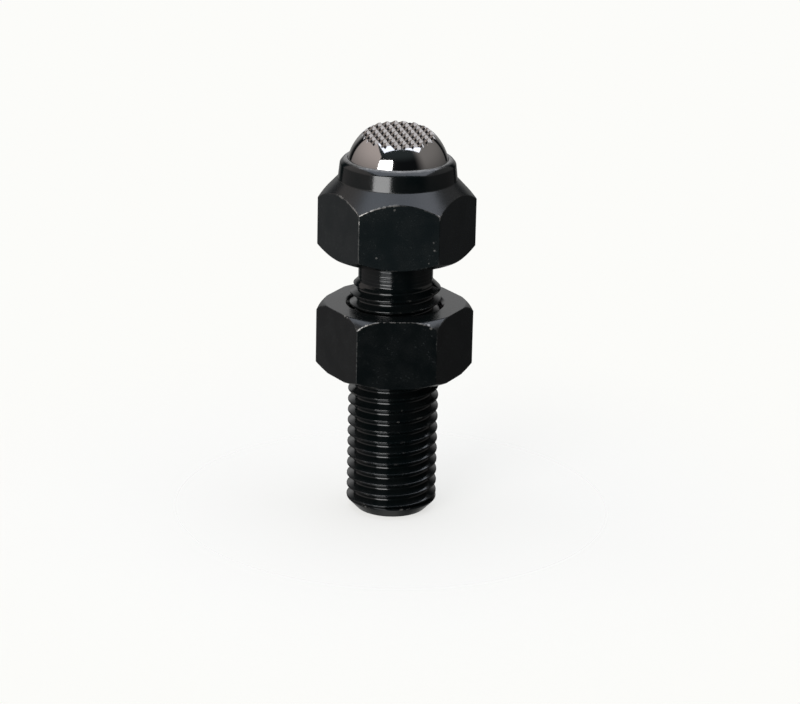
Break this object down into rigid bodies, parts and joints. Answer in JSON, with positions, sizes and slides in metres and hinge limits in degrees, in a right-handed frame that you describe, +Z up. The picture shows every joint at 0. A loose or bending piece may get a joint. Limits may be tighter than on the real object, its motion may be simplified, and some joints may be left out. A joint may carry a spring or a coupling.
{
  "type": "positioning screw",
  "caption": "Threaded stud with a hexagon head that holds a swivelling ball with a serrated grip face, and a hexagon lock nut, for supporting or clamping a workpiece.",
  "frame": {"origin": "centre of the shank's end face, on which the part stands", "axes": "+Z up the screw axis to the ball, -Y to the front, square to a pair of hexagon flats"},
  "size_m": [0.0278, 0.024, 0.0697],
  "materials": {
    "black_steel": "black oxide, semi-gloss",
    "nut_steel": "black oxide, semi-gloss, with worn corners",
    "bright_ball": "hardened and polished, serrated on its flat",
    "dowel_steel": "ground"
  },
  "bodies": {
    "stud": {"stud_body": "black_steel", "stop_pin": "dowel_steel"},
    "nut": {"lock_nut": "nut_steel"},
    "ball": {"pivot_ball": "bright_ball"}
  },
  "joints": [
    {"name": "nut_travel", "type": "slide", "parent": "stud", "child": "nut", "axis": [0, 0, 1], "range_m": [-0.024, 0.0089]},
    {"name": "ball_tilt", "type": "hinge", "parent": "stud", "child": "ball", "pos_m": [0, 0, 0.062], "axis": [1, 0, 0], "range_deg": [-17, 1]}
  ]
}
